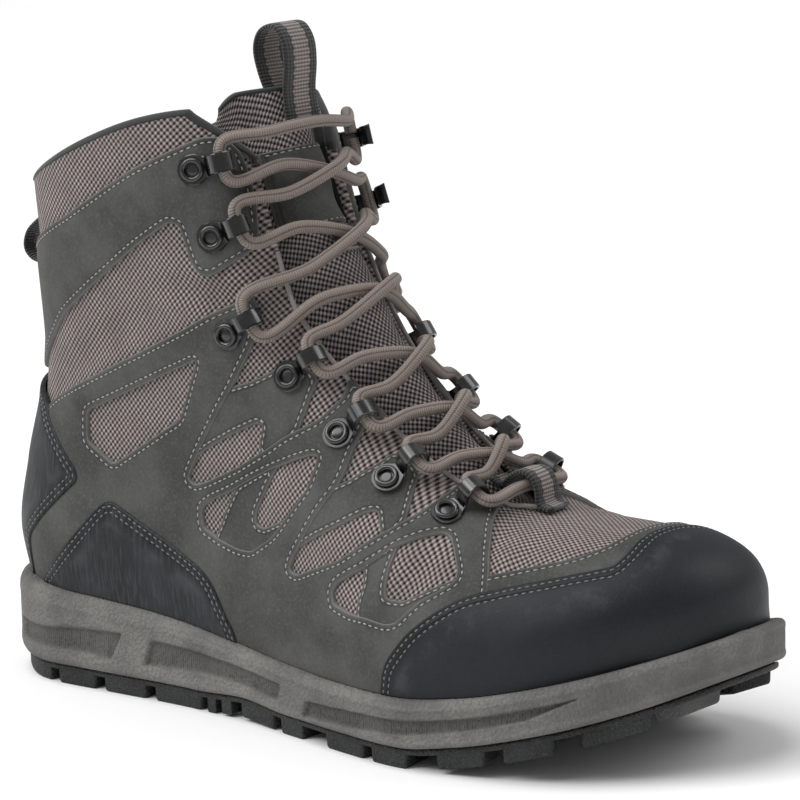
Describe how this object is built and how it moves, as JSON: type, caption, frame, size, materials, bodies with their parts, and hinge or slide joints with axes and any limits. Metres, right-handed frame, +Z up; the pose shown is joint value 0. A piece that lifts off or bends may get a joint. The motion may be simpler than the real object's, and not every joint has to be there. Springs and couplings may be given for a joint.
{
  "type": "wading boot",
  "caption": "Lace-up wading boot for the right foot, with a mesh and nubuck upper, rubbered toe cap and heel panels, lace hooks, pull loops, tongue, insole and lugged sole.",
  "frame": {"origin": "middle of the heel's flat tread, on the ground", "axes": "+X from the heel towards the toe, +Z up, -Y towards the outer (lateral) side of this right boot"},
  "size_m": [0.3122, 0.1194, 0.2402],
  "materials": {
    "mesh_fabric": "open mesh weave, matt",
    "nubuck": "matt nubuck",
    "rubbered_leather": "dull rubbered leather",
    "sole_foam": "textured matt",
    "tread_rubber": "matt",
    "lining": "dull knitted lining",
    "hook_metal": "gloss black enamel",
    "webbing": "two-tone woven webbing",
    "lace_cord": "round braided cord"
  },
  "bodies": {
    "root": {"upper": "mesh_fabric", "tongue": "mesh_fabric", "insole": "lining", "midsole": "sole_foam", "outsole": "tread_rubber", "lace": "lace_cord", "lace_keeper": "webbing", "tongue_pull_loop": "webbing", "heel_pull_loop": "webbing", "tongue_patch": "nubuck", "toe_cap": "rubbered_leather", "side_panel_lateral": "nubuck", "shaft_panel_lateral": "nubuck", "heel_panel_lateral": "rubbered_leather", "heel_patch_lateral": "rubbered_leather", "collar_binding_lateral": "lining", "hook_lateral_1": "hook_metal", "hook_lateral_2": "hook_metal", "hook_lateral_3": "hook_metal", "hook_lateral_4": "hook_metal", "hook_lateral_5": "hook_metal", "hook_lateral_6": "hook_metal", "hook_lateral_7": "hook_metal", "side_panel_medial": "nubuck", "shaft_panel_medial": "nubuck", "heel_panel_medial": "rubbered_leather", "heel_patch_medial": "rubbered_leather", "collar_binding_medial": "lining", "hook_medial_1": "hook_metal", "hook_medial_2": "hook_metal", "hook_medial_3": "hook_metal", "hook_medial_4": "hook_metal", "hook_medial_5": "hook_metal", "hook_medial_6": "hook_metal", "hook_medial_7": "hook_metal", "vamp_keeper": "webbing"}
  },
  "joints": []
}
